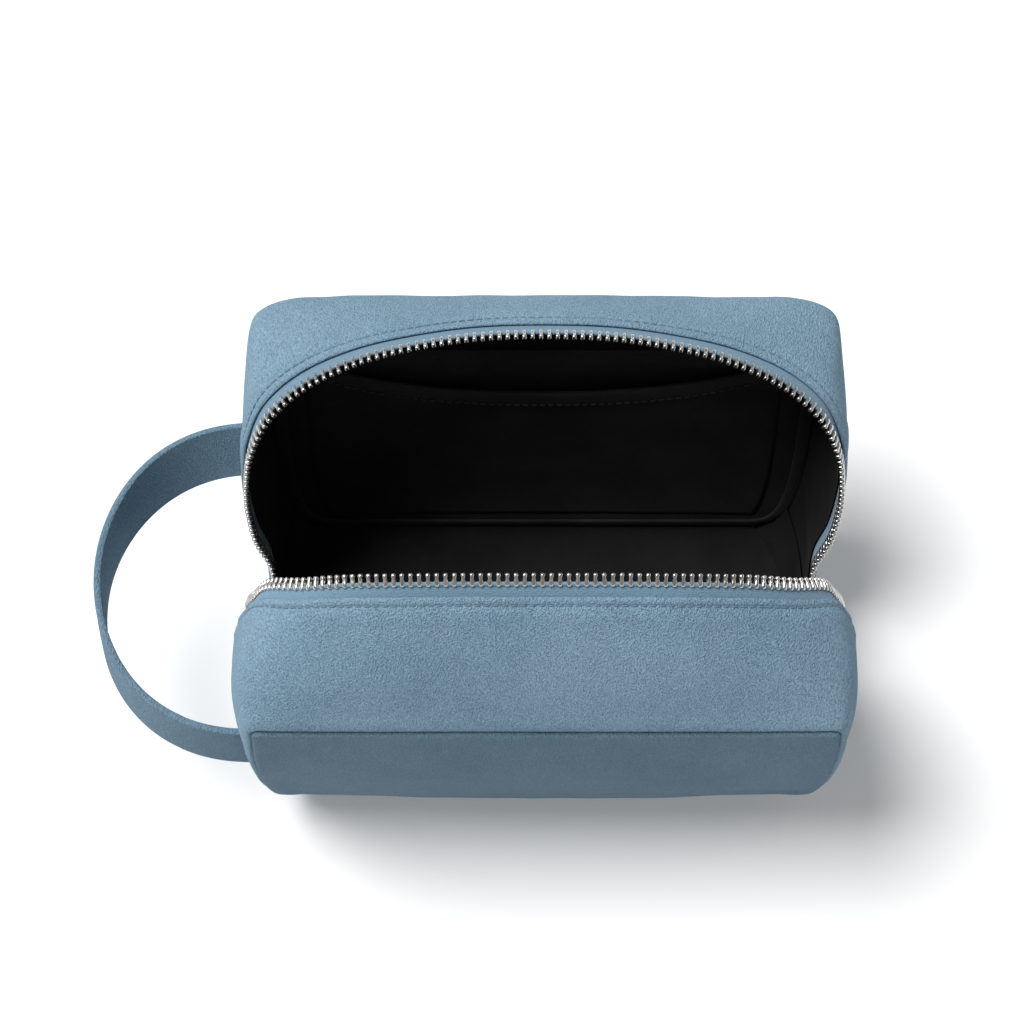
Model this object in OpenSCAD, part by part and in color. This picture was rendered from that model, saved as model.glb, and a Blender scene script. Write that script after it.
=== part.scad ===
// Zippered pouch with two face panels, split gussets, a mouth whose two halves
// swing, a metal zip round three sides and a carrying strap on one end.
// Frame: origin at the middle of the base on the ground, +X along the pouch,
// +Y towards the back wall, +Z up. All lengths in millimetres.

/* [Fabric] */
// thickness of the outer suede
suede_t = 1.2; // [0.8:0.1:1.4]
// thickness of the lining cloth
lining_t = 0.7; // [0.4:0.1:0.8]
// thickness of the woven zip tape
tape_t = 0.5; // [0.3:0.1:0.6]
// outward bow of each face panel at its middle
face_bow = 2.5; // [0:0.5:4]

/* [Base] */
// length of the flat base
base_l = 184; // [170:1:190]
// depth of the flat base
base_d = 105; // [96:1:106]
// corner radius of the base
base_r = 14; // [6:1:20]
// thickness of the stiffener board in the base
board_t = 1.6; // [1:0.1:2]

/* [Zip] */
// distance between neighbouring teeth of one row
tooth_pitch = 2.9; // [2.6:0.1:3.4]
// length of one tooth across the chain
tooth_l = 4; // [3:0.2:4.4]
// thickness of one tooth along the chain
tooth_w = 1.3; // [1:0.1:1.4]
// height of one tooth
tooth_h = 2.4; // [1.6:0.2:2.6]
// length of the puller tab
puller_l = 27; // [18:1:28]
// width of the puller tab
puller_w = 6; // [4:0.5:8]

/* [Stitching] */
// length of one topstitch
stitch_l = 2.3; // [1.5:0.1:2.6]
// distance between the starts of neighbouring stitches
stitch_pitch = 3.1; // [2.8:0.1:4]

/* [Strap] */
// width of the strap
strap_w = 24; // [18:1:28]
// thickness of each of the two strap layers
strap_t = 1.3; // [0.8:0.1:1.6]
// reach of the strap beyond the pouch's side
strap_reach = 57.5; // [45:0.5:60]

/* [Hidden] */
eps = 0.02;
sides = [-1, 1];

// gusset control rows from the middle of the top, over the corner and down the
// right side: seam row, bulge row, zip row
front_rows = [
  [[0, -69, 123.5], [25, -69, 123.5], [50, -69, 123.5], [72, -69, 123.5], [90, -69, 123.5],
   [99.5, -69, 122.5], [101, -69.3, 113], [101.5, -70, 98], [101.5, -69.5, 80], [101.5, -67, 58],
   [101, -64, 40], [99.5, -61, 25], [95.5, -57, 12], [86, -54.5, 4]],
  [[0, -56, 151], [25, -56, 151], [50, -56, 151], [74, -55, 149], [93, -53.5, 145],
   [107, -49.5, 138], [111.5, -46, 124], [113.5, -44, 105.5], [117.5, -40, 86], [115, -34, 66],
   [112, -30, 46], [108, -27, 29], [103, -25, 15], [96, -24, 5]],
  [[0, -30, 169], [25, -30, 169], [49, -30, 168.5], [68, -28.3, 163.6], [83, -25.4, 154.3],
   [95, -20.4, 141], [101, -18, 123.7], [105, -14, 105.6], [105, -6.8, 86], [105, -0.3, 66],
   [102.4, 4.3, 48], [102, 8.3, 32], [102, 9, 18], [101, 9, 5]]];
back_rows = [
  [[0, 81, 112], [25, 81, 112], [50, 81, 112], [72, 81, 112], [90, 81, 112],
   [99, 80, 110], [101, 79, 101], [101.5, 76.5, 88], [101.5, 73.5, 74], [101.5, 69.5, 56],
   [101, 65.5, 40], [99.5, 62, 25], [95.5, 58, 12], [86, 55.5, 4]],
  [[0, 111.7, 121.8], [25, 112.5, 122.2], [50, 115, 122.7], [75, 117.4, 123.4], [96, 118.9, 123.7],
   [109.5, 112.5, 122.4], [111, 102, 109], [111, 83, 93.5], [110, 67, 78.5], [108.5, 57.6, 60.5],
   [107, 50.4, 43.3], [105, 44.3, 28.1], [102, 41.2, 15.1], [96, 40, 5]],
  [[0, 68.3, 150.9], [27, 67.3, 150.1], [53.5, 63.4, 147.3], [71.5, 58.7, 143.4], [87, 52, 138],
   [98.8, 43.3, 130.3], [105.5, 35.5, 117], [108, 31, 101], [108.7, 28, 84.5], [107, 23.3, 65.8],
   [102.4, 19, 48.2], [102, 12.6, 33], [102, 11, 18], [101, 11, 5]]];
front_out = 1;
back_out = -1;
t_low = 13;          // last control column, at the bottom of a side
t_face = 5;          // column at the top corner of a face panel

// layer depths under the outer surface
layer_gap = 0.45;    // room between cloth layers
lining_gap = 0.35;   // room between the zip tape and the lining
band_gap = 0.15;     // room between the lining and what is sewn on it
tape_d = suede_t + layer_gap;
lining_d = tape_d + tape_t + lining_gap;
band_d = lining_d + lining_t + band_gap;
tooth_d = tape_d + tape_t / 2;

// spans across a gusset, from 0 at the seam to 1 at the zip
fold_s = 0.88;
stitch_s = 0.82;
tape_s = 0.74;

// where the moving halves end and the fixed lower sides begin, as control
// columns at the seam and at the zip
front_split = [11.25, 9.35];
back_split = [11.1, 9.3];
front_low = [11.65, 10.15];
back_low = [11.65, 10.15];

// slider: two plates joined by a post, and two lugs that hold the puller's pin
chain_x = 102;       // place of the closed chain on the right side
chain_y = 10;
slider_z = 34;
slider_l = 12;
slider_w = 10;
plate_t = 0.9;
plate_gap = 4.8;     // room for the teeth between the plates
plate_tip_r = 3.5;
plate_heel_r = 4;
post_w = 1.2;
post_h = 1.8;
post_drop = 2.4;     // bottom of the post under the plates' top end
lug_w = 1.1;
lug_h = 3;
lug_gap = 0.15;      // room between a lug and the puller's eye
lug_reach = 1;       // how far a lug goes past the pin
pin_r = 0.6;
eye_r = 1.5;
eye_w = 3.4;
eye_clear = 0.1;     // room between the pin and the eye
eye_off = 0.4;       // room between the plate and the eye
pin_rise = 3;
pin_x = chain_x - tooth_d + plate_gap / 2 + plate_t + eye_r + eye_off;
pin_z = slider_z + pin_rise;
pin_l = eye_w + 1.5;
lug_y = eye_w / 2 + lug_gap + lug_w / 2;

strap_z = 64;
strap_front_y = -54.5;
strap_back_y = 60.5;
strap_end_x = -104;
strap_joint_x = -121;    // where the swinging loop ends
strap_lean = 18;     // tilt of the strap's width towards the back wall
strap_twist = 10;    // how much more it tilts at the back, and less at the front
strap_bow = 0.875;   // roundness of the loop
strap_glue = 0.1;    // room between the strap's two layers
strap_steps = 22;
strap_flat = 89;     // past this angle the loop runs straight

function unit(v) = v / norm(v);
function flip_x(p) = [-p[0], p[1], p[2]];
function curve(a, b, c, d, f) =
  0.5 * (2 * b + (c - a) * f + (2 * a - 5 * b + 4 * c - d) * f * f
         + (3 * b - a - 3 * c + d) * f * f * f);
function on_row(r, t) =
  let (n = len(r) - 1, i = min(floor(t), n - 1),
       a = i == 0 ? flip_x(r[1]) : r[i - 1],
       d = i + 2 > n ? 2 * r[n] - r[n - 1] : r[i + 2])
  curve(a, r[i], r[i + 1], d, t - i);
function row_pt(r, t) = t < 0 ? flip_x(on_row(r, -t)) : on_row(r, t);

// point of a gusset at column t and span s
function gusset(rows, t, s) =
  (1 - s) * (1 - s) * row_pt(rows[0], t) + 2 * s * (1 - s) * row_pt(rows[1], t)
  + s * s * row_pt(rows[2], t);
// point of a face panel at span u (-1 to 1) and column t
function face_at(rows, out, u, t) =
  let (p = on_row(rows[0], t), rise = sin(180 * (t - t_face) / (t_low - t_face)))
  [u * p[0], p[1] - out * face_bow * (1 - u * u) * rise, p[2]];
// the same with a height share b, from 0 at the bottom to 1 at the top
function face(rows, out, u, b) = face_at(rows, out, u, t_low + (t_face - t_low) * b);

// a column that runs from the middle to a slanted lower end
function slant(a, s, ends) = a * (ends[0] + (ends[1] - ends[0]) * s);
// a column between two slanted ends
function between(a, s, ends, last) =
  let (first = ends[0] + (ends[1] - ends[0]) * s) first + (last - first) * a;

// unit normal of a surface f(a, b)
function normal(f, a, b) =
  let (h = 0.01) unit(cross(f(a + h, b) - f(a - h, b), f(a, b + h) - f(a, b - h)));

function grid_pts(f, ra, rb, depth, out) =
  [for (i = [0:ra[2]]) for (j = [0:rb[2]])
    let (a = ra[0] + (ra[1] - ra[0]) * i / ra[2], b = rb[0] + (rb[1] - rb[0]) * j / rb[2],
         d = is_num(depth) ? depth : depth(a, b))
    f(a, b) - out * d * normal(f, a, b)];

function quad(a, b, c, d) = [[a, b, c], [a, c, d]];
function turned(faces, out) = out > 0 ? faces : [for (t = faces) [t[0], t[2], t[1]]];
function shell_faces(n, m) =
  let (k = (n + 1) * (m + 1), v = function(i, j) i * (m + 1) + j)
  [for (i = [0:n - 1]) for (j = [0:m - 1])
     each concat(quad(v(i, j), v(i, j + 1), v(i + 1, j + 1), v(i + 1, j)),
                 quad(k + v(i + 1, j), k + v(i + 1, j + 1), k + v(i, j + 1), k + v(i, j))),
   for (i = [0:n - 1])
     each concat(quad(v(i, 0), v(i + 1, 0), k + v(i + 1, 0), k + v(i, 0)),
                 quad(v(i + 1, m), v(i, m), k + v(i, m), k + v(i + 1, m))),
   for (j = [0:m - 1])
     each concat(quad(v(0, j + 1), v(0, j), k + v(0, j), k + v(0, j + 1)),
                 quad(v(n, j), v(n, j + 1), k + v(n, j + 1), k + v(n, j)))];

// closed shell between two depths under a surface f(a, b)
module shell(f, ra, rb, d_out, d_in, out) {
  pts = concat(grid_pts(f, ra, rb, d_out, out), grid_pts(f, ra, rb, d_in, out));
  polyhedron(pts, turned(shell_faces(ra[2], rb[2]), out));
}

// one small box with half sizes h along the directions u, v, w
function box_pts(c, u, v, w, h) =
  [for (k = [-1, 1]) for (j = [-1, 1]) for (i = [-1, 1])
    c + i * h[0] * u + j * h[1] * v + k * h[2] * w];
box_faces = concat(quad(0, 1, 3, 2), quad(4, 6, 7, 5), quad(0, 4, 5, 1),
                   quad(2, 3, 7, 6), quad(0, 2, 6, 4), quad(1, 5, 7, 3));
module boxes(list) {
  polyhedron([for (b = list) each b],
             [for (k = [0:len(list) - 1]) for (t = box_faces) [t[0] + 8 * k, t[1] + 8 * k, t[2] + 8 * k]]);
}

// table of [length, column] along the line at span s
function run_len(p, i, sum, out) =
  i == len(p) ? out
  : let (next = sum + norm(p[i][1] - p[i - 1][1])) run_len(p, i + 1, next, concat(out, [[next, p[i][0]]]));
function length_table(rows, s, t0, t1) =
  let (n = 130, p = [for (i = [0:n]) let (t = t0 + (t1 - t0) * i / n) [t, gusset(rows, t, s)]])
  run_len(p, 1, 0, [[0, t0]]);

// boxes set along a gusset line at equal steps of length
function line_boxes(rows, s, t0, t1, pitch, start, depth, h, out) =
  let (table = length_table(rows, s, t0, t1), total = table[len(table) - 1][0], e = 0.02)
  [for (d = [start:pitch:total - h[0]])
    let (t = lookup(d, table), f = function(a, b) gusset(rows, a, b),
         u = unit(f(t + e, s) - f(t - e, s)), w = out * normal(f, t, s), v = cross(w, u))
    box_pts(f(t, s) - depth * w, u, v, w, h)];

// ribbon swept along a list of [point, width direction, thickness direction]
module ribbon(frames, w, t0, t1) {
  n = len(frames) - 1;
  ring = function(f) [f[0] - f[1] * w / 2 + f[2] * t0, f[0] + f[1] * w / 2 + f[2] * t0,
                      f[0] + f[1] * w / 2 + f[2] * t1, f[0] - f[1] * w / 2 + f[2] * t1];
  polyhedron([for (f = frames) each ring(f)],
    // both flat sides split along the same diagonal, so twisted layers stay apart
    [for (i = [0:n - 1]) for (j = [0:3])
       let (k = (j + 1) % 4, a = 4 * i + j, b = a + 4, c = 4 * i + 4 + k, d = 4 * i + k)
       each j == 2 ? quad(b, c, d, a) : quad(a, b, c, d),
     each quad(0, 1, 2, 3), each quad(4 * n + 3, 4 * n + 2, 4 * n + 1, 4 * n)]);
}

module round_slab(l, d, r, t) {
  linear_extrude(t) {
    square([l - 2 * r, d], center = true);
    square([l, d - 2 * r], center = true);
    for (x = sides) for (y = sides)
      translate([x * (l / 2 - r), y * (d / 2 - r)]) circle(r, $fn = 64);
  }
}

suede = [0.46, 0.58, 0.67];
dark_suede = suede * 0.8;
black = [0.07, 0.07, 0.08];
grey = [0.3, 0.3, 0.3];
tape_blue = [0.32, 0.42, 0.52];
nickel = [0.8, 0.8, 0.8];

// ---- base
base_gap = 0.1;      // room between the base's layers
board_in = 4;        // how far the board stays inside the base panel
cover_in = 2;        // the same for the lining, at its ends
cover_in_y = 2.5;    // and at its long sides
module base_panel() {
  color(suede) round_slab(base_l, base_d, base_r, suede_t);
}
module base_stiffener() {
  color(grey) translate([0, 0, suede_t + base_gap])
    round_slab(base_l - 2 * board_in, base_d - 2 * board_in, base_r - board_in, board_t);
}
module base_lining() {
  color(black) translate([0, 0, suede_t + board_t + 2 * base_gap])
    round_slab(base_l - 2 * cover_in, base_d - 2 * cover_in_y, base_r - cover_in, lining_t);
}

// ---- face panels
face_steps = [14, 12];
panel_in = 0.004;    // share of the panel left free at its seam
cover_share = 0.03;  // the same for its lining
module face_shell(rows, out, d0, d1, inset) {
  f = function(u, b) face(rows, out, u, b);
  shell(f, [-1 + inset, 1 - inset, face_steps[0]], [inset, 1 - inset / 2, face_steps[1]],
        d0, d1, out);
}
module face_suede(rows, out) {
  color(suede) face_shell(rows, out, 0, suede_t, panel_in);
}
module face_lining(rows, out) {
  color(black) face_shell(rows, out, lining_d, lining_d + lining_t, cover_share);
}
module front_panel() { face_suede(front_rows, front_out); }
module back_panel() { face_suede(back_rows, back_out); }
module front_lining() { face_lining(front_rows, front_out); }
module back_lining() { face_lining(back_rows, back_out); }

// ---- gusset halves that swing with the face panels
gusset_steps = 44;
front_seam_s = 0.018;
back_seam_s = 0.032;
inner_s = 0.07;
lining_s = 0.82;
module gusset_shell(rows, out, split, s0, s1, ns, d0, d1) {
  f = function(a, s) gusset(rows, slant(a, s, split), s);
  shell(f, [-1, 1, gusset_steps], [s0, s1, ns], d0, d1, out);
}
module gusset_suede(rows, out, split, seam_s) {
  color(suede) gusset_shell(rows, out, split, seam_s, fold_s, 8, 0, suede_t);
}
module gusset_cover(rows, out, split, ns) {
  color(black) gusset_shell(rows, out, split, inner_s, lining_s, ns, lining_d, lining_d + lining_t);
}
module gusset_tape(rows, out, split) {
  color(tape_blue) gusset_shell(rows, out, split, tape_s, 1, 2, tape_d, tape_d + tape_t);
}
module front_gusset() { gusset_suede(front_rows, front_out, front_split, front_seam_s); }
module back_gusset() { gusset_suede(back_rows, back_out, back_split, back_seam_s); }
module front_gusset_lining() { gusset_cover(front_rows, front_out, front_split, 4); }
module back_gusset_lining() { gusset_cover(back_rows, back_out, back_split, 5); }
module front_zip_tape() { gusset_tape(front_rows, front_out, front_split); }
module back_zip_tape() { gusset_tape(back_rows, back_out, back_split); }

// ---- fixed lower sides, one pair per half, both sides in one node
module low_shell(rows, out, low, s0, s1, ns, d0, d1) {
  for (side = sides) {
    f = function(a, s) let (p = gusset(rows, between(a, s, low, t_low), s)) side > 0 ? p : flip_x(p);
    shell(f, [0, 1, 6], [s0, s1, ns], d0, d1, side * out);
  }
}
front_low_s = 0.12;
back_low_s = 0.2;
low_cover_s = 0.02;  // how much nearer the zip the lining begins
module low_suede(rows, out, low, low_s) {
  color(suede) low_shell(rows, out, low, low_s, fold_s, 4, 0, suede_t);
}
module low_cover(rows, out, low, low_s) {
  color(black) low_shell(rows, out, low, low_s + low_cover_s, lining_s, 3, lining_d, lining_d + lining_t);
}
module front_lower_gusset() { low_suede(front_rows, front_out, front_low, front_low_s); }
module back_lower_gusset() { low_suede(back_rows, back_out, back_low, back_low_s); }
module lower_gusset_lining() {
  low_cover(front_rows, front_out, front_low, front_low_s);
  low_cover(back_rows, back_out, back_low, back_low_s);
}
tape_end_s = 0.985;
module lower_zip_tape() {
  color(tape_blue) {
    low_shell(front_rows, front_out, front_low, tape_s, tape_end_s, 2, tape_d, tape_d + tape_t);
    low_shell(back_rows, back_out, back_low, tape_s, tape_end_s, 2, tape_d, tape_d + tape_t);
  }
}

// ---- zip teeth
tooth_half = [tooth_w / 2, tooth_l / 2, tooth_h / 2];
tooth_start = 1;
low_start = 0.8;
function row_teeth(rows, out, ends, start) =
  line_boxes(rows, 1, ends[0], ends[1], tooth_pitch, start, tooth_d, tooth_half, out);
module front_zip_teeth() {
  color(nickel) boxes(row_teeth(front_rows, front_out, [-front_split[1], front_split[1]], tooth_start));
}
module back_zip_teeth() {
  color(nickel) boxes(row_teeth(back_rows, back_out, [-back_split[1], back_split[1]], tooth_start));
}
teeth_low = [10.2, 11.85];
module lower_zip_teeth() {
  low = concat(row_teeth(front_rows, front_out, teeth_low, low_start),
               row_teeth(back_rows, back_out, teeth_low, low_start + tooth_pitch / 2));
  color(nickel) {
    boxes(low);
    mirror([1, 0, 0]) boxes(low);
  }
}
stop_z = 17;
stop_size = [3, 8, 3];
module zip_stop(side) {
  corner = [side * (chain_x - tooth_d), chain_y, stop_z] - [stop_size[0] / 2, stop_size[1] / 2, stop_size[2]];
  color(nickel) translate(corner) cube(stop_size);
}
module zip_bottom_stop() { zip_stop(1); }
module zip_top_stop() { zip_stop(-1); }

// ---- topstitching beside the folded edge
stitch_half = [stitch_l / 2, 0.3, 0.2];
stitch_lift = 0.1;       // how far the stitches stand on the suede
stitch_start = 2;
front_stitch_end = 9.4;  // last column of each row of stitches
back_stitch_end = 9.3;
module stitches(rows, out, end) {
  color(dark_suede) boxes(line_boxes(rows, stitch_s, -end, end, stitch_pitch, stitch_start,
                                     -stitch_lift, stitch_half, out));
}
module front_topstitch() { stitches(front_rows, front_out, front_stitch_end); }
module back_topstitch() { stitches(back_rows, back_out, back_stitch_end); }

// ---- bound seam allowance inside each face panel: down one side, along the
// bottom and up the other side
band_w = 5;
band_t = 0.9;
band_in = 3;         // distance from the seam to the band
band_off = 1;        // distance from the lining to the band
band_columns = [5.4:0.4:12.6];
function band_path(rows, out) =
  let (edge = [for (t = band_columns) t], h = 0.05,
       one = function(side, t) let (p = on_row(rows[0], t), q = on_row(rows[0], t + h),
                                    run = unit(q - p), nrm = [0, -out, 0],
                                    inw = -out * unit(cross(nrm, run)))
         [[side * p[0], p[1], p[2]] + [side * inw[0], inw[1], inw[2]] * (band_w / 2 + band_in),
          [side * inw[0], inw[1], inw[2]], [0, out, 0]])
  concat([for (t = edge) one(-1, t)],
         [for (i = [len(edge) - 1:-1:0]) one(1, edge[i])]);
module binding(rows, out) {
  color(black) ribbon(band_path(rows, out), band_w, band_d + band_off, band_d + band_off + band_t);
}
module front_binding() { binding(front_rows, front_out); }
module back_binding() { binding(back_rows, back_out); }

// ---- slip pocket on the inside of the back wall
pocket_half = 0.86;
pocket_scoop = 0.15;
pocket_low = 0.12;
pocket_top = 0.94;
pocket_gap = 7;      // how far the mouth's middle stands off the wall
pocket_off = 0.3;    // room between the pocket and the band
hem_span = [0.86, 0.97];
hem_t = 0.6;
function pocket_b(u, b) =
  let (top = pocket_top - pocket_scoop * (1 - pow(u / pocket_half, 2)))
  pocket_low + (top - pocket_low) * b;
module pocket_shell(b0, b1, nb, extra, thick) {
  f = function(u, b) face(back_rows, back_out, u, pocket_b(u, b));
  stand = function(u, b) band_d + pocket_off + extra + pocket_gap * (1 - pow(u / pocket_half, 4)) * b;
  shell(f, [-pocket_half, pocket_half, 12], [b0, b1, nb],
        stand, function(u, b) stand(u, b) + thick, back_out);
}
module back_pocket() { color(black) pocket_shell(0, 1, 8, 0, lining_t); }
module pocket_hem() { color(black) pocket_shell(hem_span[0], hem_span[1], 1, lining_t + layer_gap, hem_t); }

// ---- slider and puller
module slider_plate(x) {
  translate([x, chain_y, slider_z]) rotate([0, 90, 0]) linear_extrude(plate_t) {
    square([slider_l - plate_heel_r, slider_w], center = true);
    translate([slider_l / 2 - plate_tip_r, 0]) circle(plate_tip_r, $fn = 48);
    translate([-slider_l / 2 + plate_heel_r, 0]) circle(plate_heel_r, $fn = 48);
  }
}
module zip_slider() {
  plate_in = chain_x - tooth_d - plate_gap / 2 - plate_t;
  plate_out = chain_x - tooth_d + plate_gap / 2;
  color(nickel) {
    slider_plate(plate_in);
    slider_plate(plate_out);
    translate([plate_in, chain_y - post_w / 2, slider_z + slider_l / 2 - post_drop])
      cube([plate_out - plate_in + eps, post_w, post_h]);
    for (side = sides)
      translate([plate_out, chain_y + side * lug_y - lug_w / 2, pin_z - lug_h / 2])
        cube([pin_x - plate_out + lug_reach, lug_w, lug_h]);
    translate([pin_x, chain_y, pin_z]) rotate([90, 0, 0])
      cylinder(r = pin_r, h = pin_l, center = true, $fn = 32);
  }
}
puller_t = 1.2;
puller_hole_r = 1.3;
neck_l = 5;          // length of the narrow neck under the eye
tab_drop = 4;        // where the wide tab begins under the pin
tab_l = puller_l - tab_drop - puller_w / 2;
module zip_puller() {
  color(nickel) difference() {
    translate([pin_x, chain_y, pin_z]) union() {
      rotate([90, 0, 0]) cylinder(r = eye_r, h = eye_w, center = true, $fn = 32);
      translate([0, -eye_w / 2, -neck_l]) cube([puller_t, eye_w, neck_l]);
      translate([0, 0, -tab_drop]) rotate([0, 90, 0]) linear_extrude(puller_t) {
        translate([0, -puller_w / 2]) square([tab_l, puller_w]);
        translate([tab_l, 0]) circle(puller_w / 2, $fn = 48);
      }
    }
    translate([pin_x, chain_y, pin_z]) rotate([90, 0, 0])
      cylinder(r = pin_r + eye_clear, h = 4 * eye_w, center = true, $fn = 32);
    translate([pin_x - puller_t, chain_y, pin_z - puller_l + puller_w / 2]) rotate([0, 90, 0])
      cylinder(r = puller_hole_r, h = 4 * puller_t, $fn = 32);
  }
}

// ---- strap
strap_mid_y = (strap_front_y + strap_back_y) / 2;
strap_half_y = (strap_back_y - strap_front_y) / 2;
// plan of the strap: a rounded half loop, p from -90 (front) to 90 (back)
function strap_pt(p) =
  [strap_end_x - strap_reach * pow(cos(p), strap_bow), strap_mid_y + strap_half_y * sin(p), strap_z];
function lean_dir(a) = [0, sin(a), cos(a)];
function strap_frame(p) =
  let (q = min(max(p, -strap_flat), strap_flat), run = unit(strap_pt(q + 0.5) - strap_pt(q - 0.5)),
       w0 = lean_dir(strap_lean + strap_twist * sin(p)), w = unit(w0 - run * (w0 * run)))
  [strap_pt(p), w, cross(run, w)];
strap_cut = acos(pow((strap_end_x - strap_joint_x) / strap_reach, 1 / strap_bow));
module strap_run(t0, t1) {
  ribbon([for (i = [0:strap_steps]) strap_frame(strap_cut * (2 * i / strap_steps - 1))], strap_w, t0, t1);
}
module strap_outer() { color(suede) strap_run(-strap_t, -strap_glue / 2); }
module strap_lining() { color(suede) strap_run(strap_glue / 2, strap_t); }
// each tab starts beside the strap's end, with room for the strap to swing and the
// mouth to close, and is sewn through the side of the pouch
tab_beside = 5.5;
tab_start_x = -119.5;
front_tab_end_x = -107;
back_tab_end_x = -105.4;
module strap_tab(out, lean, end_x) {
  across = [0, -cos(lean), sin(lean)];
  line = strap_pt(-out * strap_cut) - out * tab_beside * across;
  color(suede) ribbon([for (x = [tab_start_x, end_x]) [[x, line[1], line[2]], lean_dir(lean), across]],
                      strap_w, -strap_t, strap_t);
}
module strap_front_tab() { strap_tab(front_out, strap_lean - strap_twist, front_tab_end_x); }
module strap_back_tab() { strap_tab(back_out, strap_lean + strap_twist, back_tab_end_x); }

base_panel();
base_stiffener();
base_lining();
front_lower_gusset();
back_lower_gusset();
lower_gusset_lining();
lower_zip_tape();
lower_zip_teeth();
zip_bottom_stop();
zip_top_stop();
front_panel();
front_gusset();
front_lining();
front_gusset_lining();
front_binding();
front_zip_tape();
front_zip_teeth();
front_topstitch();
strap_front_tab();
back_panel();
back_gusset();
back_lining();
back_gusset_lining();
back_binding();
back_pocket();
pocket_hem();
back_zip_tape();
back_zip_teeth();
back_topstitch();
strap_back_tab();
zip_slider();
zip_puller();
strap_outer();
strap_lining();
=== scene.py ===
"""Looks of the zippered pouch: suede skins, linings, zip, stitching and strap.

Shapes are worked out in millimetres, and new_piece makes them metres. Each half of
the gusset is a sheet over columns t, from 0 at the middle of the top to 13 at the
right foot and negative on the left, and spans s, from 0 at the seam to 1 at the zip.
"""
import math
import random

import bpy
import numpy as np
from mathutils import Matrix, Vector, noise


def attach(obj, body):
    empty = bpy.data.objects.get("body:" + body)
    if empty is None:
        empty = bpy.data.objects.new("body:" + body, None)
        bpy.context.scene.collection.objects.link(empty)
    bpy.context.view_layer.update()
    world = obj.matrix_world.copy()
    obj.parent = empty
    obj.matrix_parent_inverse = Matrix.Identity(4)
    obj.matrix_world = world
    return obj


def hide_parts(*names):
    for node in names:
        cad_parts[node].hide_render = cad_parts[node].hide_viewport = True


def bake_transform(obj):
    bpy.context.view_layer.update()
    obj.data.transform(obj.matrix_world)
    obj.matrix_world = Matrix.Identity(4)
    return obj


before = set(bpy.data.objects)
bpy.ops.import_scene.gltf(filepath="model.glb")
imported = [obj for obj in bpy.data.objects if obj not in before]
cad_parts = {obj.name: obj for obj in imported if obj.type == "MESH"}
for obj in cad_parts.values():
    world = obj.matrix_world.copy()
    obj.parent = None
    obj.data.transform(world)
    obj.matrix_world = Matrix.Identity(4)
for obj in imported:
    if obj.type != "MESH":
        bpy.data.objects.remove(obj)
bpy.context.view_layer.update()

MM = 0.001
random.seed(7)

# ---------------------------------------------------------------- shape tables
# rows of each half: seam, bulge and zip, each from the middle of the top, over the
# corner and down the right side
# out: 1 for the front half and -1 for the back
# seam_y and tilt: where its cloth bends at the foot, and how that bend slants
# stitch_d: its topstitching, measured back from the middle of the teeth
FRONT = dict(
    name="front", out=1.0, body="front_half", seam_y=-60.0, tilt=-0.69, stitch_d=9.0,
    rows=np.array([
        [[0, -69, 123.5], [25, -69, 123.5], [50, -69, 123.5], [72, -69, 123.5],
         [90, -69, 123.5], [99.5, -69, 122.5], [101, -69.3, 113], [101.5, -70, 98],
         [101.5, -69.5, 80], [101.5, -67, 58], [101, -64, 40], [99.5, -61, 25],
         [95.5, -57, 12], [86, -54.5, 4]],
        [[0, -56, 151], [25, -56, 151], [50, -56, 151], [74, -55, 149],
         [93, -53.5, 145], [107, -49.5, 138], [111.5, -46, 124], [113.5, -44, 105.5],
         [117.5, -40, 86], [115, -34, 66], [112, -30, 46], [108, -27, 29],
         [103, -25, 15], [96, -24, 5]],
        [[0, -30, 169], [25, -30, 169], [49, -30, 168.5], [68, -28.3, 163.6],
         [83, -25.4, 154.3], [95, -20.4, 141], [101, -18, 123.7], [105, -14, 105.6],
         [105, -6.8, 86], [105, -0.3, 66], [102.4, 4.3, 48], [102, 8.3, 32],
         [102, 9, 18], [101, 9, 5]]], float))
BACK = dict(
    name="back", out=-1.0, body="back_half", seam_y=60.0, tilt=1.05, stitch_d=9.8,
    rows=np.array([
        [[0, 81, 112], [25, 81, 112], [50, 81, 112], [72, 81, 112], [90, 81, 112],
         [99, 80, 110], [101, 79, 101], [101.5, 76.5, 88], [101.5, 73.5, 74],
         [101.5, 69.5, 56], [101, 65.5, 40], [99.5, 62, 25], [95.5, 58, 12],
         [86, 55.5, 4]],
        [[0, 111.7, 121.8], [25, 112.5, 122.2], [50, 115, 122.7], [75, 117.4, 123.4],
         [96, 118.9, 123.7], [109.5, 112.5, 122.4], [111, 102, 109], [111, 83, 93.5],
         [110, 67, 78.5], [108.5, 57.6, 60.5], [107, 50.4, 43.3], [105, 44.3, 28.1],
         [102, 41.2, 15.1], [96, 40, 5]],
        [[0, 68.3, 150.9], [27, 67.3, 150.1], [53.5, 63.4, 147.3], [71.5, 58.7, 143.4],
         [87, 52, 138], [98.8, 43.3, 130.3], [105.5, 35.5, 117], [108, 31, 101],
         [108.7, 28, 84.5], [107, 23.3, 65.8], [102.4, 19, 48.2], [102, 12.6, 33],
         [102, 11, 18], [101, 11, 5]]], float))

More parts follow.
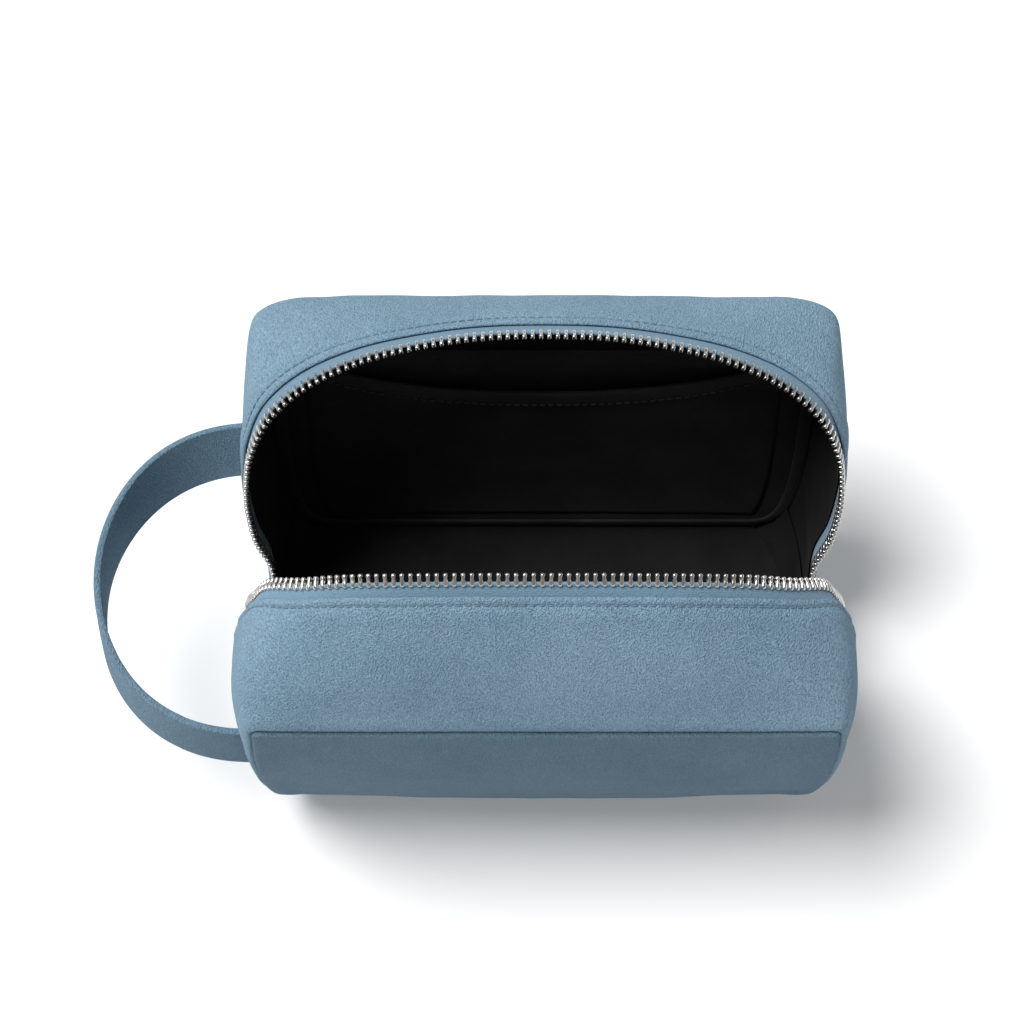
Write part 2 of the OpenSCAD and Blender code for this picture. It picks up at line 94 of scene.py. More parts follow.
FOLD_D = 6.1        # folded edge, measured back from the middle of the teeth
HIDDEN_D = 13.5     # how far back the turned-under suede reaches
TAPE_D = 1.65       # depth of the zip tape under the outer surface
LINING_D = 2.9      # depth of the lining under the outer surface
SEAM_DEPTH = 2.3    # how deep a seam sinks between the pieces it joins
SEAM_REACH = 2.4    # how far from the seam the suede starts to sink
LINING_REACH = 5.0  # how far from the seam the lining starts to turn in
LINING_TURN = 4.0   # how far inside the seam the lining's edge ends
CORNER = 4.0        # column of the face panel's top corner
FACE_TOP = 5.0      # column just under that corner
GUSSET_END = 12.0   # column where the gusset halves meet the base strip
LAST = 13.0         # last column, at the foot
FACE_HALF = 101.5   # half of the face panel's width
FACE_BOW = 2.5      # how far the middle of a face panel stands out
TOOTH_PITCH = 2.9
STITCH_PITCH = 3.05
THREAD_R = 0.33
POCKET_STITCH_PITCH = 3.1
POCKET_THREAD_R = 0.26


def spline(rows, t):
    """Points of a control row at columns t; negative columns are on the left."""
    t = np.asarray(t, float)
    last = len(rows) - 1
    a = np.abs(t)
    i = np.minimum(a.astype(int), last - 1)
    f = (a - i)[..., None]
    ext = np.vstack([rows[1] * [-1, 1, 1], rows, 2 * rows[-1] - rows[-2]])
    p, q, r, w = ext[i], ext[i + 1], ext[i + 2], ext[i + 3]
    out = 0.5 * (2 * q + (r - p) * f + (2 * p - 5 * q + 4 * r - w) * f ** 2
                 + (3 * q - p - 3 * r + w) * f ** 3)
    out[..., 0] *= np.where(t < 0, -1.0, 1.0)
    return out


def strip(half, t, s):
    """Points of a gusset half at columns t and spans s."""
    t, s = np.broadcast_arrays(t, s)
    a, b, c = (spline(half["rows"][k], t) for k in range(3))
    s = s[..., None]
    return (1 - s) ** 2 * a + 2 * s * (1 - s) * b + s ** 2 * c


def unit(v):
    """Vectors scaled to length 1."""
    return v / np.maximum(np.linalg.norm(v, axis=-1, keepdims=True), 1e-9)


STEP = 0.02         # step in columns or spans for directions on the surface


def strip_normal(half, t, s):
    """Outward unit normals of a gusset half."""
    along = strip(half, t + STEP, s) - strip(half, t - STEP, s)
    across = strip(half, t, s + STEP) - strip(half, t, s - STEP)
    return half["out"] * unit(np.cross(along, across))


def strip_width(half, t):
    """Width of the gusset half at columns t, measured over its bulge."""
    s = np.linspace(0, 1, 41)
    p = strip(half, np.asarray(t)[:, None], s[None, :])
    return np.linalg.norm(np.diff(p, axis=1), axis=2).sum(1)


def span_at(half, t, dist):
    """Spans at distances dist back from the zip line, for columns t.

    dist has one row per column; a distance past either edge is carried on.
    """
    s = np.linspace(-0.2, 1.2, 141)
    p = strip(half, np.asarray(t)[:, None], s[None, :])
    run = np.concatenate([np.zeros((len(t), 1)),
                          np.cumsum(np.linalg.norm(np.diff(p, axis=1), axis=2), 1)], 1)
    out = np.empty_like(dist, dtype=float)
    for k in range(len(t)):
        zip_run = np.interp(1.0, s, run[k])
        out[k] = np.interp(zip_run - dist[k], run[k], s)
    return out


def face(half, u, t):
    """Points of a face panel at spans u (-1 to 1) and columns t."""
    u, t = np.broadcast_arrays(u, t)
    p = spline(half["rows"][0], t).copy()
    rise = np.sin(np.pi * np.clip((t - FACE_TOP) / (LAST - FACE_TOP), 0, 1))
    p[..., 0] *= u
    p[..., 1] -= half["out"] * FACE_BOW * (1 - u ** 2) * rise
    return p


def hump(x, centre, width):
    """A smooth hump of height 1 round a centre."""
    return np.exp(-((x - centre) / width) ** 2)


# ---------------------------------------------------------------- mesh helpers
def new_piece(name, verts, faces, material, uv=None):
    """A smooth mesh object from points in millimetres."""
    mesh = bpy.data.meshes.new(name)
    mesh.from_pydata((np.asarray(verts, float) * MM).tolist(), [], faces)
    mesh.update()
    if uv is not None:
        layer = mesh.uv_layers.new(name="UVMap")
        loops = np.empty(len(mesh.loops), int)
        mesh.loops.foreach_get("vertex_index", loops)
        layer.data.foreach_set("uv", np.asarray(uv, float)[loops].ravel())
    mesh.polygons.foreach_set("use_smooth", [True] * len(mesh.polygons))
    obj = bpy.data.objects.new(name, mesh)
    bpy.context.scene.collection.objects.link(obj)
    mesh.materials.append(material)
    return obj


def grid_faces(n, m, flip, ring):
    """Quads of an n by m grid of points; ring joins the last column to the first."""
    cols = m if ring else m - 1
    faces = []
    for i in range(n - 1):
        for j in range(cols):
            k = (j + 1) % m
            quad = (i * m + j, i * m + k, (i + 1) * m + k, (i + 1) * m + j)
            faces.append(quad[::-1] if flip else quad)
    return faces


def run_along(points):
    """Distance from the first point of a polyline to each of its points."""
    return np.concatenate([[0], np.cumsum(np.linalg.norm(np.diff(points, axis=0), axis=1))])


def arc_uv(points):
    """UV in metres: along the first axis and across the second."""
    u = run_along(points[:, points.shape[1] // 2])
    v = run_along(points[points.shape[0] // 2])
    return np.stack(np.meshgrid(u * MM, v * MM, indexing="ij"), -1)


def grid_piece(name, points, material, flip=False, ring=False):
    """A piece from a grid of points; its UV runs along and across the grid."""
    n, m = points.shape[:2]
    return new_piece(name, points.reshape(-1, 3), grid_faces(n, m, flip, ring),
                     material, uv=arc_uv(points).reshape(-1, 2))


def ripple(points, scale, seed):
    """Smooth noise between -1 and 1 at each point; scale is its wavelength in mm."""
    flat = points.reshape(-1, 3) / scale
    shift = Vector((seed * 7.3, seed * 3.1, seed * 5.7))
    vals = [noise.noise(Vector(p) + shift) for p in flat]
    return np.array(vals).reshape(points.shape[:-1])


def seam_line(half):
    """Points of the seam round a face panel, and the way each sinks inwards."""
    count = 1500
    t = np.linspace(-LAST, LAST, count)
    p = spline(half["rows"][0], t)
    outward = strip_normal(half, t, np.zeros(count)) + np.array([0, -half["out"], 0])
    return p, -unit(outward)


def seam_pull(half, p, width):
    """For each point: how near the seam it is (0 to 1 at the seam), and the way inwards."""
    line, inward = seam_line(half)
    flat = p.reshape(-1, 3)
    near = np.empty(len(flat), int)
    dist = np.empty(len(flat))
    for k in range(0, len(flat), 2000):
        gap = np.linalg.norm(flat[k:k + 2000, None] - line[None], axis=2)
        near[k:k + 2000] = gap.argmin(1)
        dist[k:k + 2000] = gap.min(1)
    closeness = np.clip(1 - dist / width, 0, 1).reshape(p.shape[:-1])
    return closeness, inward[near].reshape(p.shape)


def round_in(closeness):
    """Profile of a rounded edge: 0 away from the seam, 1 at the seam."""
    return 1 - np.sqrt(np.clip(1 - closeness ** 2, 0, 1))


def sunk(p, near, inward):
    """Points rolled in along the seam; near and inward are seam_pull's."""
    return p + inward * (SEAM_DEPTH * round_in(near))[..., None]


def lined(half, p, set_in):
    """Lining points: set_in away from the seam, turned in behind it near the seam."""
    near, inward = seam_pull(half, p, LINING_REACH)
    pull = (near ** 1.5)[..., None]
    return set_in * (1 - pull) + (p + inward * LINING_TURN) * pull


# ---------------------------------------------------------------- materials
class Shader:
    """Small helper that adds and joins nodes."""

    def __init__(self, name):
        self.mat = bpy.data.materials.new(name)
        self.mat.use_nodes = True
        self.tree = self.mat.node_tree
        self.bsdf = self.tree.nodes["Principled BSDF"]

    def node(self, kind, **settings):
        node = self.tree.nodes.new(kind)
        for key, value in settings.items():
            setattr(node, key, value)
        return node

    def put(self, socket, value):
        """Joins another node's output to the socket, or sets the socket's value."""
        if isinstance(value, bpy.types.NodeSocket):
            self.tree.links.new(value, socket)
        else:
            socket.default_value = value

    def coords(self, kind="Object"):
        return self.node("ShaderNodeTexCoord").outputs[kind]

    def bands(self, coords, direction, scale, distortion):
        tex = self.node("ShaderNodeTexWave", wave_type="BANDS", bands_direction=direction)
        self.put(tex.inputs["Vector"], coords)
        tex.inputs["Scale"].default_value = scale
        tex.inputs["Distortion"].default_value = distortion
        return tex.outputs["Fac"]

    def noise(self, coords, scale, detail, rough):
        tex = self.node("ShaderNodeTexNoise")
        self.put(tex.inputs["Vector"], coords)
        tex.inputs["Scale"].default_value = scale
        tex.inputs["Detail"].default_value = detail
        tex.inputs["Roughness"].default_value = rough
        return tex.outputs["Fac"]

    def ramp(self, fac, stops):
        """Colours at positions; a single number is a grey."""
        ramp = self.node("ShaderNodeValToRGB")
        self.put(ramp.inputs["Fac"], fac)
        marks = ramp.color_ramp.elements
        while len(marks) < len(stops):
            marks.new(0.5)
        for mark, (pos, colour) in zip(marks, stops):
            mark.position = pos
            value = (colour,) * 3 if isinstance(colour, (int, float)) else colour
            mark.color = (*value, 1)
        return ramp.outputs["Color"]

    def mix(self, fac, a, b, kind="MIX"):
        mix = self.node("ShaderNodeMix", data_type="RGBA", blend_type=kind)
        self.put(mix.inputs[0], fac)
        for socket, value in ((mix.inputs[6], a), (mix.inputs[7], b)):
            if isinstance(value, tuple):
                value = (*value[:3], 1)
            self.put(socket, value)
        return mix.outputs[2]

    def maths(self, kind, a, b):
        node = self.node("ShaderNodeMath", operation=kind)
        self.put(node.inputs[0], a)
        self.put(node.inputs[1], b)
        return node.outputs[0]

    def bump(self, height, strength, distance, below=None):
        bump = self.node("ShaderNodeBump")
        bump.inputs["Strength"].default_value = strength
        bump.inputs["Distance"].default_value = distance
        self.put(bump.inputs["Height"], height)
        if below is not None:
            self.put(bump.inputs["Normal"], below)
        return bump.outputs["Normal"]

    def finish(self, colour, rough, normal=None, metallic=0.0, **extra):
        """Sets the surface; extra names its other sockets."""
        if isinstance(colour, tuple):
            colour = (*colour, 1)
        self.put(self.bsdf.inputs["Base Color"], colour)
        self.put(self.bsdf.inputs["Roughness"], rough)
        self.bsdf.inputs["Metallic"].default_value = metallic
        if normal is not None:
            self.put(self.bsdf.inputs["Normal"], normal)
        for key, value in extra.items():
            self.put(self.bsdf.inputs[key.replace("_", " ")], value)
        return self.mat


def shade(colour, amount):
    """A colour made darker or lighter."""
    return tuple(c * amount for c in colour)


def suede(name, base):
    """Brushed suede: fine slanting grain over soft patches where the nap lies."""
    dark = 0.90
    light = 1.09
    sh = Shader(name)
    xyz = sh.coords()
    slant = sh.node("ShaderNodeMapping")
    sh.put(slant.inputs["Vector"], xyz)
    slant.inputs["Rotation"].default_value = (0.5, 0.35, math.radians(-55))
    slant.inputs["Scale"].default_value = (1.0, 0.6, 1.0)
    grain_at = slant.outputs["Vector"]
    patch = sh.noise(xyz, scale=22, detail=4, rough=0.55)
    cloud = sh.noise(xyz, scale=60, detail=3, rough=0.5)
    pebble = sh.noise(grain_at, scale=1950, detail=2, rough=0.5)
    nap = sh.noise(xyz, scale=2600, detail=2, rough=0.6)
    deeper = (0.965, 1.0, 1.015)    # darker patches are a little bluer
    low = tuple(c * dark * k for c, k in zip(base, deeper))
    high = tuple(c * light / k for c, k in zip(base, deeper))
    tone = sh.ramp(patch, [(0.34, low), (0.5, base), (0.66, high)])
    tone = sh.mix(0.35, tone, sh.ramp(cloud, [(0.3, low), (0.7, high)]))
    speck = sh.ramp(pebble, [(0.30, 0.32), (0.5, 0.5), (0.70, 0.68)])
    tone = sh.mix(0.85, tone, speck, "OVERLAY")
    normal = sh.bump(pebble, strength=1.0, distance=0.0014)
    normal = sh.bump(nap, strength=0.35, distance=0.00012, below=normal)
    normal = sh.bump(patch, strength=0.15, distance=0.0008, below=normal)
    rough = sh.ramp(cloud, [(0.3, 0.88), (0.7, 0.97)])
    return sh.finish(tone, rough, normal, Sheen_Weight=0.10, Sheen_Roughness=0.45,
                     Sheen_Tint=(0.62, 0.75, 0.86, 1), Specular_IOR_Level=0.10)


def lining(name, base, weave=400):
    """Black twill lining with a faint diagonal weave."""
    sh = Shader(name)
    xyz = sh.coords()
    twill = sh.bands(xyz, "DIAGONAL", scale=weave, distortion=1.2)
    patch = sh.noise(xyz, scale=40, detail=4, rough=0.6)
    thread = sh.noise(xyz, scale=1200, detail=2, rough=0.5)
    high = shade(base, 2.1)
    tone = sh.mix(sh.ramp(patch, [(0.3, 0.15), (0.7, 0.85)]), base, high)
    tone = sh.mix(0.3, tone, sh.ramp(thread, [(0.3, 0.4), (0.7, 0.6)]), "OVERLAY")
    normal = sh.bump(twill, strength=0.25, distance=0.0002)
    normal = sh.bump(thread, strength=0.3, distance=0.0002, below=normal)
    return sh.finish(tone, 0.9, normal, Sheen_Weight=0.02, Sheen_Roughness=0.4,
                     Specular_IOR_Level=0.12)


def woven_tape(name, base):
    """Zip tape: fine ribs crossed by diagonal ones."""
    sh = Shader(name)
    uv = sh.coords("UV")
    ribs = sh.bands(uv, "Y", scale=420, distortion=0.5)
    cross = sh.bands(uv, "DIAGONAL", scale=330, distortion=1.0)
    weave = sh.maths("MULTIPLY", ribs, cross)
    fuzz = sh.noise(sh.coords(), scale=1500, detail=3, rough=0.6)
    low = shade(base, 0.9)
    tone = sh.mix(sh.ramp(weave, [(0.1, 0.2), (0.8, 1.0)]), low, base)
    tone = sh.mix(0.35, tone, sh.ramp(fuzz, [(0.3, 0.4), (0.7, 0.6)]), "OVERLAY")
    normal = sh.bump(weave, strength=0.22, distance=0.0002)
    normal = sh.bump(fuzz, strength=0.8, distance=0.0006, below=normal)
    return sh.finish(tone, 0.8, normal, Sheen_Weight=0.2, Specular_IOR_Level=0.25)


def thread(name, base):
    """Twisted sewing thread."""
    sh = Shader(name)
    xyz = sh.coords()
    twist = sh.noise(xyz, scale=1500, detail=2, rough=0.5)
    tone = sh.mix(twist, shade(base, 0.75), shade(base, 1.2))
    normal = sh.bump(twist, strength=0.5, distance=0.0002)
    return sh.finish(tone, 0.6, normal, Sheen_Weight=0.15, Specular_IOR_Level=0.35)


def nickel(name, base):
    """Polished nickel with fine scratches and slightly dull recesses."""
    sh = Shader(name)
    xyz = sh.coords()
    wear = sh.noise(xyz, scale=260, detail=4, rough=0.6)
    scratch = sh.noise(xyz, scale=1500, detail=3, rough=0.7)
    tone = sh.mix(wear, shade(base, 0.8), base)
    rough = sh.ramp(wear, [(0.3, 0.22), (0.7, 0.36)])
    normal = sh.bump(scratch, strength=0.12, distance=0.0001)
    return sh.finish(tone, rough, normal, metallic=1.0)


def board(name):
    """Grey pressed board."""
    sh = Shader(name)
    fibre = sh.noise(sh.coords(), scale=300, detail=5, rough=0.6)
    tone = sh.mix(fibre, (0.12, 0.12, 0.12), (0.22, 0.21, 0.2))
    return sh.finish(tone, 0.9, sh.bump(fibre, strength=0.3, distance=0.0003))


# the darker suedes are painted shade and the paler wall lining is painted light: face panels,
# strap and gusset are one suede and the linings one cloth, recoloured to match the brightness
# their light gives them
SUEDE = suede("suede", (0.211, 0.335, 0.440))
# the strap's darker suede is painted shade: the gusset's suede, darkened where the strap gets
# less light
SHADED_STRAP_SUEDE = suede("strap_suede_painted_shade", (0.165, 0.262, 0.345))
# the face panels' darker suede is painted shade: the gusset's suede, darkened because the
# panels face away from the light
SHADED_FACE_SUEDE = suede("face_suede", (0.146, 0.235, 0.308))
LINING = lining("lining", (0.0083, 0.0083, 0.0085))
# the wall lining's paler cloth is painted light: the same black lining, lightened on the face
# panels' liners and the slip pocket where they sit in shade
LIT_WALL_LINING = lining("wall_lining_painted_light", (0.0150, 0.0150, 0.0153))
# the binding cloth is paler than the lining partly as its own colour and partly as a painted
# highlight on the binding's edges and the pocket's hem
BINDING_WITH_HIGHLIGHT = lining("binding", (0.0185, 0.0185, 0.0188), weave=700)
TAPE = woven_tape("zip_tape", (0.17, 0.285, 0.385))
THREAD = thread("thread", (0.115, 0.19, 0.255))
BLACK_THREAD = thread("black_thread", (0.026, 0.026, 0.028))
NICKEL = nickel("nickel", (0.68, 0.67, 0.65))
BOARD = board("board")


def follow(obj):
    """Bakes the cloth's transform into its mesh."""
    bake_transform(obj)


# ---------------------------------------------------------------- outer skins
def gusset_columns(count, end=GUSSET_END):
    return np.linspace(-end, end, count)


def gusset_profile(half, width):
    """Distances back from the zip, one row per width, and depths under the surface.

    The suede starts hidden under the tape, turns over the folded edge, passes the
    topstitching and runs to the seam.
    """
    hidden = np.linspace(HIDDEN_D, FOLD_D + 1.0, 4)
    turn = np.radians(np.linspace(-90, 90, 9))
    near = np.linspace(FOLD_D + 1.3, half["stitch_d"] + 2.2, 17)
    share = np.linspace(0, 1, 26)[1:] ** 0.92
    roll = np.array([2.7, 2.2, 1.7, 1.2, 0.8, 0.45, 0.2, 0.0])
    rows = []
    for w in width:
        far = near[-1] + share * (w - 3.3 - near[-1])
        rows.append(np.concatenate([hidden, FOLD_D + 1 - np.cos(turn), near, far, w - roll]))
    flat = np.zeros(len(near) + len(share) + len(roll))
    depth = np.concatenate([np.full(len(hidden), 1.4), 0.7 - 0.7 * np.sin(turn), flat])
    return np.array(rows), np.tile(depth, (len(width), 1))


def gusset_relief(half, p, dist, width):
    """Height of the ripples and puckers, and of the welts by the fold and the seam."""
    stitch_d = half["stitch_d"]
    from_fold = np.clip((dist - FOLD_D) / 6, 0, 1)
    from_seam = np.clip((width - dist) / 6, 0, 1)
    ripples = 0.75 * ripple(p, 42, 1) + 0.28 * ripple(p, 14, 2)
    welt = 0.55 * hump(dist, stitch_d + 3.6, 2.8)
    lip = 0.25 * hump(dist, 0.5 * (FOLD_D + stitch_d), 1.0)
    pucker = 0.10 * ripple(p, 4.5, 3) * hump(dist, stitch_d, 2.5)
    puff = 0.5 * hump(width - dist, 4.5, 2.6)
    return from_fold * (from_seam * (ripples + welt) + puff) + lip + pucker


def gusset_skin(half):
    """Outer suede of a gusset half, from its seam to the folded zip edge."""
    t = gusset_columns(361)
    width = strip_width(half, t)[:, None]
    dist, depth = gusset_profile(half, width[:, 0])
    depth += 0.30 * hump(dist, half["stitch_d"], 0.5) * (depth < 0.6)
    s = span_at(half, t, dist)
    p = strip(half, t[:, None], s)
    foot = np.clip((GUSSET_END - np.abs(t)) / 0.9, 0, 1)[:, None]
    foot = foot * foot * (3 - 2 * foot)
    height = gusset_relief(half, p, dist, width) * foot - depth
    near, inward = seam_pull(half, p, SEAM_REACH)
    near = near * (dist > width - 3)
    p = p + strip_normal(half, t[:, None], s) * height[..., None]
    obj = grid_piece(half["name"] + "_gusset_skin", sunk(p, near, inward), SUEDE,
                     flip=half["out"] > 0)
    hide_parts(half["name"] + "_gusset", half["name"] + "_lower_gusset")
    follow(obj)


def face_grid(half):
    """Points of a face panel, closer together near its edges."""
    t = np.concatenate([np.linspace(CORNER, 4.5, 12), np.linspace(4.5, 6, 18)[1:],
                        np.linspace(6, 12, 56)[1:], np.linspace(12, LAST, 14)[1:]])
    edge = np.array([0, 0.2, 0.45, 0.8, 1.2, 1.7, 2.3, 3.0]) / 100.0
    inner = np.linspace(-1 + edge[-1], 1 - edge[-1], 95)
    u = np.concatenate([-1 + edge[:-1], inner, 1 - edge[:-1][::-1]])
    p = face(half, u[None, :], t[:, None])
    seam = spline(half["rows"][0], np.linspace(0, CORNER, 400))
    top = p[0].copy()
    for k in (1, 2):
        top[:, k] = np.interp(np.abs(top[:, 0]), seam[:, 0], seam[:, k])
    share = np.clip(1 - (t - CORNER) / 0.5, 0, 1)
    return p + share[:, None, None] * (top - p[0]), u, t


def face_skin(half):
    """Outer suede of a face panel, with edges rolled in at the seam."""
    p, _, _ = face_grid(half)
    near, inward = seam_pull(half, p, SEAM_REACH)
    wide, _ = seam_pull(half, p, 10.0)
    foot = np.clip((p[..., 2] - 4.0) / 9, 0, 1)
    ripples = 0.6 * ripple(p, 45, 4) + 0.2 * ripple(p, 13, 5)
    welt = 1.1 * (wide - wide ** 3)
    height = (ripples * (1 - wide) + welt) * foot
    p[..., 1] -= half["out"] * (height - 1.1 * round_in(np.clip(1 - foot * 5, 0, 1)))
    obj = grid_piece(half["name"] + "_face_skin", sunk(p, near, inward), SHADED_FACE_SUEDE,
                     flip=half["out"] < 0)
    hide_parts(half["name"] + "_panel")
    follow(obj)


def base_outline(t, count):
    """Across-line of the right side at column t: front seam to back seam."""
    s = np.linspace(0, 1, count)
    a = strip(FRONT, np.full(count, t), s)
    b = strip(BACK, np.full(count, t), s[::-1])
    line = np.concatenate([a, b[1:]])
    y = np.linspace(line[0, 1], line[-1, 1], 2 * count - 1)
    order = np.argsort(line[:, 1])
    return np.stack([np.interp(y, line[order, 1], line[order, k]) for k in range(3)], 1)


TUCK = 0.6          # how far the base's top edge passes behind the gussets
FOOT_RADIUS = 9.0   # how far in the base goes as it turns under the pouch


def base_points(inset, lift, first):
    """Rows of the strip under the pouch, from the top of one end to the other's.

    inset and lift bring it inside the outer surface, and first is its top column.
    """
    ends = [base_outline(t, 25) for t in np.linspace(first, LAST, 9)]
    foot = ends[-1]
    centre = 0.5 * (foot[0, 1] + foot[-1, 1])
    edge = np.abs(foot[:, 1] - centre)
    rim = np.clip((edge - (edge.max() - 6)) / 6, 0, 1)
    ground = foot[0, 2] * round_in(rim)
    rows = []
    for k, line in enumerate(ends):
        q = line.copy()
        q[:, 0] -= inset + TUCK * max(0.0, 1 - 1.5 * k / len(ends))
        q[:, 1] = centre + (q[:, 1] - centre) * (1 - inset / edge.max())
        rows.append(q + [0, 0, lift * 0.3])
    side = rows[-1]
    drop = side[:, 2] - ground - lift
    for turn in np.radians(np.linspace(0, 90, 12)[1:]):
        q = side.copy()
        q[:, 0] = side[:, 0] - FOOT_RADIUS * (1 - math.cos(turn))
        q[:, 2] = side[:, 2] - drop * math.sin(turn)
        rows.append(q)
    left = [row * [-1, 1, 1] for row in rows][::-1]
    flat = [rows[-1] * (1 - k) + left[0] * k for k in np.linspace(0, 1, 40)[1:-1]]
    return np.array(rows + flat + left)


def base_skin():
    """Outer suede of the base, sunk into the seams of both face panels."""
    p = base_points(inset=0.0, lift=0.0, first=GUSSET_END - 0.25)
    sinks = [seam_pull(half, p, SEAM_REACH) for half in (FRONT, BACK)]
    for near, inward in sinks:
        p = sunk(p, near, inward)
    obj = grid_piece("base_skin", p, SUEDE, flip=True)
    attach(obj, "base")
    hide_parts("base_panel")


def base_liner():
    """Black lining of the base, sagging a little between its edges."""
    p = base_points(inset=3.2, lift=4.3, first=11.6)
    p[..., 2] += 0.5 * ripple(p, 30, 9)
    obj = grid_piece("base_liner", p, LINING)
    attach(obj, "base")
    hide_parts("base_lining")


# ---------------------------------------------------------------- linings
def gusset_liner(half):
    """Black lining of a gusset half, from the seam to under the zip tape."""
    t = gusset_columns(241, end=12.3)
    width = strip_width(half, t)
    share = np.linspace(0, 1, 34)
    first = FOLD_D + 1.2
    s = span_at(half, t, first + share[None, :] * (width[:, None] - first))
    p = strip(half, t[:, None], s)
    inner = np.sin(np.pi * share)[None, :] ** 0.6
    depth = LINING_D + inner * (0.5 + 0.7 * ripple(p, 26, 6) + 0.25 * ripple(p, 9, 7))
    set_in = p - strip_normal(half, t[:, None], s) * depth[..., None]
    obj = grid_piece(half["name"] + "_gusset_liner", lined(half, p, set_in), LINING,
                     flip=half["out"] < 0)
    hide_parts(half["name"] + "_gusset_lining", "lower_gusset_lining")
    follow(obj)


def face_liner(half):
    """Black lining of a face panel."""
    p, u, t = face_grid(half)
    inner = (1 - u ** 2)[None, :] * np.sin(np.pi * np.linspace(0.02, 0.98, len(t)))[:, None]
    set_in = p.copy()
    set_in[..., 1] += half["out"] * (LINING_D + inner ** 0.5 * (0.4 + 0.5 * ripple(p, 30, 8)))
    obj = grid_piece(half["name"] + "_face_liner", lined(half, p, set_in),
                     LIT_WALL_LINING, flip=half["out"] > 0)
    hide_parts(half["name"] + "_lining")
    follow(obj)


def squared(wave, power):
    """A sine or cosine made squarer, for outlines between an ellipse and a box."""
    return np.sign(wave) * np.abs(wave) ** power


def sweep(path, side, up, outline):
    """Rings of an outline (across, height) along a path."""
    outline = np.asarray(outline, float)
    return (path[:, None, :] + side[:, None, :] * outline[None, :, :1]
            + up[:, None, :] * outline[None, :, 1:])


def even_path(points, count):
    """Points at equal steps along a polyline."""
    run = run_along(points)
    at = np.linspace(0, run[-1], count)
    return np.stack([np.interp(at, run, points[:, k]) for k in range(3)], 1)


def smoothed(path, reach):
    """A path with its corners rounded by averaging reach points each way."""
    padded = np.concatenate([np.repeat(path[:1], reach, 0), path,
                             np.repeat(path[-1:], reach, 0)])
    kernel = np.ones(2 * reach + 1) / (2 * reach + 1)
    return np.stack([np.convolve(padded[:, k], kernel, "valid") for k in range(3)], 1)


def face_binding(half):
    """Folded binding over the seam allowance, inside the face panel's edge."""
    t = np.linspace(4.9, 12.75, 140)
    right = spline(half["rows"][0], t)
    path = np.concatenate([right * [-1, 1, 1], right[::-1]])
    path = smoothed(even_path(path, 340), 8)
    run = unit(np.gradient(path, axis=0))
    inward = np.tile([0.0, half["out"], 0.0], (len(path), 1))
    side = unit(np.cross(run, inward))
    middle = np.array([0.0, path[:, 1].mean(), 62.0])   # any point well inside the loop
    side *= np.sign(((middle - path) * side).sum(1))[:, None]
    centre = path + inward * (LINING_D + 1.1) + side * 4.2
    a = np.radians(np.linspace(0, 360, 17)[:-1])
    shape = np.stack([2.6 * squared(np.cos(a), 0.7), 0.75 * squared(np.sin(a), 0.7)], 1)
    p = sweep(centre, side, inward, shape)
    obj = grid_piece(half["name"] + "_bound_seam", p, BINDING_WITH_HIGHLIGHT, ring=True)
    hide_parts(half["name"] + "_binding")
    follow(obj)


POCKET_U = 0.86         # span of the pocket's sides
POCKET_FOOT = 0.12      # height shares of the face panel: foot,
POCKET_TOP = 0.95       # mouth at the sides,
POCKET_SCOOP = 0.155    # and how much lower the mouth is in the middle
HEM_LOW = 0.895         # share of the pocket's height where the hem starts
HEM_STITCH = 0.90       # and where its stitches run


def pocket_column(u, b):
    """Column of the pocket at span u and height share b (0 foot, 1 mouth)."""
    top = POCKET_TOP - POCKET_SCOOP * (1 - (u / POCKET_U) ** 2)
    return LAST - (LAST - FACE_TOP) * (POCKET_FOOT + (top - POCKET_FOOT) * b)


def pocket_points(u, b, extra):
    """Points extra further from the wall than the pocket's cloth, which stands off."""
    p = face(BACK, u, pocket_column(u, b))
    bow = 5.2 * (1 - (np.abs(u) / POCKET_U) ** 4) * np.clip(b, 0, 1) ** 1.5
    p[..., 1] -= 3.4 + extra + bow
    return p


def pocket_grid(b):
    """Grid of pocket points at height shares b, with the creases of its cloth."""
    u = np.linspace(-POCKET_U, POCKET_U, 91)
    uu, bb = np.meshgrid(u, b, indexing="ij")
    p = pocket_points(uu, bb, 0.0)
    p[..., 1] -= 0.5 * ripple(p, 24, 11) * np.sin(np.pi * np.clip(bb, 0, 1))
    return p


def slip_pocket():
    """Cloth of the slip pocket on the back wall, with its scooped mouth."""
    p = pocket_grid(np.concatenate([np.linspace(0, 0.84, 40), np.linspace(0.85, 1, 22)]))
    obj = grid_piece("slip_pocket", p, LIT_WALL_LINING, flip=True)
    solid = obj.modifiers.new("cloth", "SOLIDIFY")
    solid.thickness = 0.7 * MM
    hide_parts("back_pocket")
    follow(obj)


def pocket_hem():
    """Hem folded over the pocket's mouth, with its line of stitches."""
    b = np.linspace(HEM_LOW, 1.006, 16)
    p = pocket_grid(b)
    turn = np.abs(b - b.mean()) / (b[-1] - b.mean())
    p[..., 1] -= 0.35 + 0.75 * np.sqrt(np.clip(1 - turn ** 4, 0, 1))
    hem = grid_piece("pocket_mouth_hem", p, BINDING_WITH_HIGHLIGHT, flip=True)
    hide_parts("pocket_hem")
    follow(hem)
    ends = []
    for x in np.arange(-82.0, 82.1, POCKET_STITCH_PITCH):
        start, end = (pocket_points(np.array(at / FACE_HALF), np.array(HEM_STITCH), 1.2)
                      for at in (x, x + 2.1))
        ends.append((start, end, np.array([0, -1.0, 0])))
    stitches = stitch_piece("pocket_stitches", ends, BLACK_THREAD, POCKET_THREAD_R)
    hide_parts("pocket_hem")
    follow(stitches)


